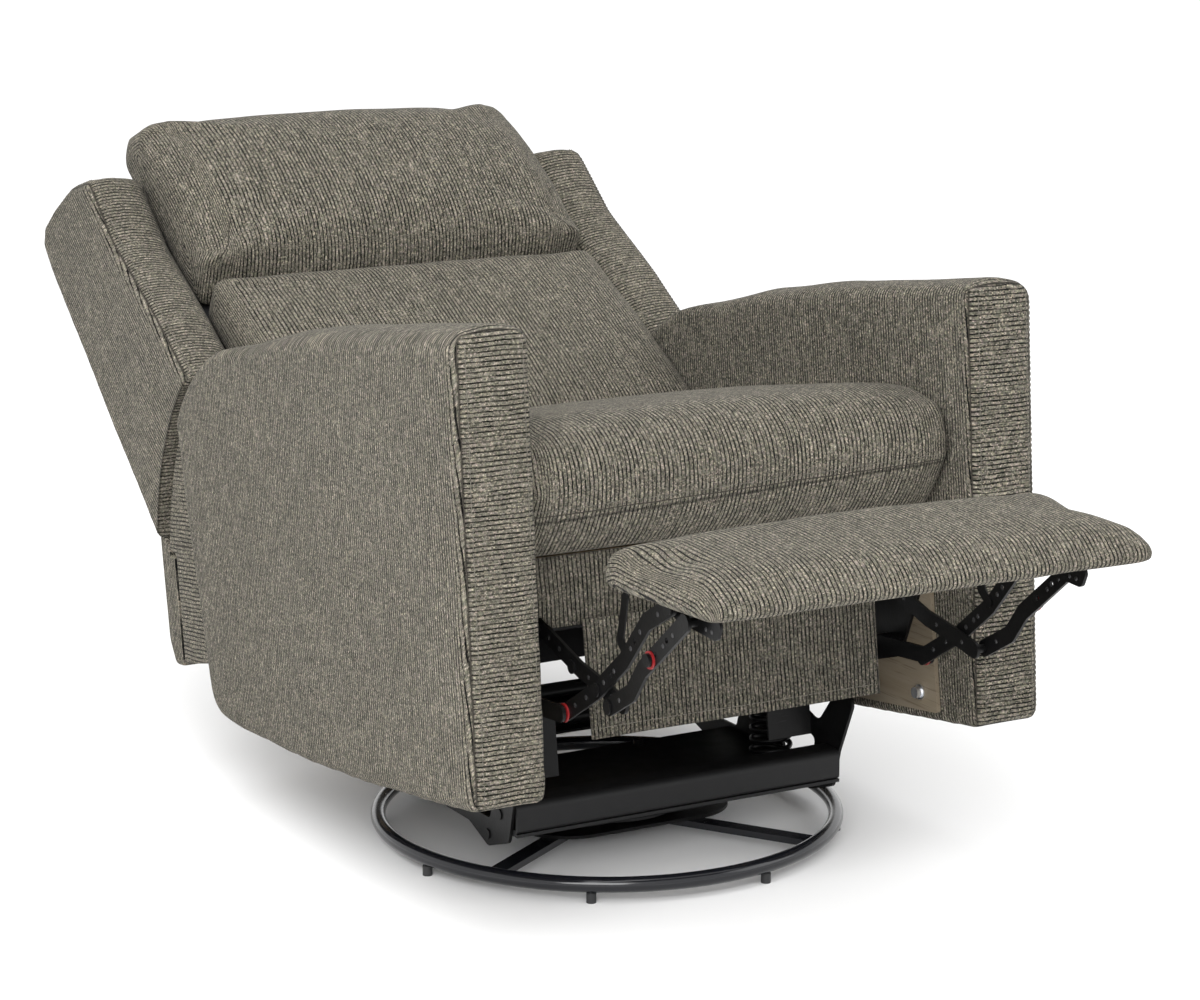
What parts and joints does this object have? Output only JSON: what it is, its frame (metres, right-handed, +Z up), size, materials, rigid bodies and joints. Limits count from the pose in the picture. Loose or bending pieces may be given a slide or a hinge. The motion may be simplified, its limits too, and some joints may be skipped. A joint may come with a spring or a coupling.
{
  "type": "swivel rocker recliner",
  "caption": "Upholstered swivel rocker recliner shown reclined, with padded arms, winged back, head roll, fold-out footrest linkage and a round steel swivel base.",
  "frame": {"origin": "on the floor at the centre of the base ring, on the swivel axis", "axes": "+Z up; the sitter faces -Y; +X is to the right as seen from the front"},
  "size_m": [0.77, 1.6603, 0.826],
  "materials": {
    "upholstery_fabric": "ribbed grey-brown tweed weave with dark and pale flecks",
    "gloss_black_steel": "gloss black paint",
    "black_steel": "satin black paint",
    "black_plastic": "matte",
    "timber": "bare plywood and sawn timber",
    "red_nylon": "moulded red nylon",
    "zinc_steel": "zinc plated"
  },
  "bodies": {
    "ring_base": {"base_ring": "gloss_black_steel", "base_spokes": "gloss_black_steel", "ring_foot_glides": "black_plastic", "swivel_lower_plate": "black_steel", "swivel_balls": "zinc_steel", "swivel_ball_cage": "black_plastic", "swivel_kingpin": "black_steel", "swivel_nut": "black_steel"},
    "swivel_frame": {"swivel_upper_plate": "black_steel", "base_deck": "black_steel", "front_beam": "black_steel", "rear_beam": "black_steel", "base_side_plates": "black_steel", "base_plate_bolts": "black_steel", "rock_springs": "black_steel"},
    "chassis": {"rock_shaft": "black_steel", "rock_brackets": "black_steel", "cross_tubes": "black_steel", "spring_plate": "black_steel", "mechanism_plates": "black_steel", "chassis_pivot_studs": "black_steel", "arm_inner_boards": "timber", "arm_bolts": "zinc_steel", "seat_front_rail": "timber", "seat_rear_rail": "timber", "seat_side_rails": "timber", "rear_rail": "timber", "seat_springs": "zinc_steel", "arm_left": "upholstery_fabric", "arm_right": "upholstery_fabric", "seat_cushion": "upholstery_fabric", "seat_front_band": "upholstery_fabric", "front_apron": "upholstery_fabric", "rear_panel": "upholstery_fabric", "rear_side_panels": "upholstery_fabric"},
    "backrest": {"wing_left": "upholstery_fabric", "wing_right": "upholstery_fabric", "back_outer_panel": "upholstery_fabric", "back_lower_panel": "upholstery_fabric", "back_posts": "timber", "back_rails": "timber", "back_hinge_brackets": "black_steel", "back_springs": "zinc_steel", "lumbar_cushion": "upholstery_fabric", "headrest_cushion": "upholstery_fabric"},
    "drive_links": {"drive_links": "black_steel", "drive_tube": "black_steel", "drive_link_studs": "black_steel"},
    "long_links": {"long_links": "black_steel", "link_washers": "red_nylon", "footrest_stops": "black_steel"},
    "front_links": {"front_links": "black_steel", "front_link_washers": "red_nylon", "front_link_nuts": "black_steel"},
    "control_links": {"control_links": "black_steel", "control_link_studs": "black_steel"},
    "footrest": {"footrest_brackets": "black_steel", "footrest_studs": "black_steel", "footrest_board": "timber", "footrest_pad": "upholstery_fabric"}
  },
  "joints": [
    {"name": "swivel", "type": "hinge", "parent": "ring_base", "child": "swivel_frame", "pos_m": [0, 0, 0], "axis": [0, 0, 1], "continuous": true},
    {"name": "rock", "type": "hinge", "parent": "swivel_frame", "child": "chassis", "pos_m": [0, 0, 0.15], "axis": [1, 0, 0], "range_deg": [-3, 11], "stiffness_Nm_per_rad": 600, "springref_deg": 2.86, "deforming": ["rock_springs"]},
    {"name": "recline", "type": "hinge", "parent": "chassis", "child": "backrest", "pos_m": [0, 0.20479, 0.29181], "axis": [1, 0, 0], "range_deg": [0, 30]},
    {"name": "footrest_extend", "type": "hinge", "parent": "chassis", "child": "drive_links", "pos_m": [0, -0.25961, 0.35018], "axis": [1, 0, 0], "range_deg": [0, 96]},
    {"name": "long_link_pivot", "type": "hinge", "parent": "drive_links", "child": "long_links", "pos_m": [0, -0.41114, 0.31397], "axis": [1, 0, 0], "range_deg": [-110.05, 0.05]},
    {"name": "front_link_pivot", "type": "hinge", "parent": "drive_links", "child": "front_links", "pos_m": [0, -0.45148, 0.30581], "axis": [1, 0, 0], "range_deg": [-107.4, 0.05]},
    {"name": "control_link_pivot", "type": "hinge", "parent": "chassis", "child": "control_links", "pos_m": [0, -0.20719, 0.25847], "axis": [1, 0, 0], "range_deg": [-0.05, 122.05]},
    {"name": "footrest_pivot", "type": "hinge", "parent": "long_links", "child": "footrest", "pos_m": [0, -0.56667, 0.44293], "axis": [1, 0, 0], "range_deg": [-0.05, 98.05]}
  ],
  "couplings": [
    {"joint": "long_link_pivot", "follows": "footrest_extend", "ratio": -1.1458},
    {"joint": "front_link_pivot", "follows": "footrest_extend", "ratio": -1.1181},
    {"joint": "control_link_pivot", "follows": "footrest_extend", "ratio": 1.2707},
    {"joint": "footrest_pivot", "follows": "footrest_extend", "ratio": 1.0208}
  ]
}
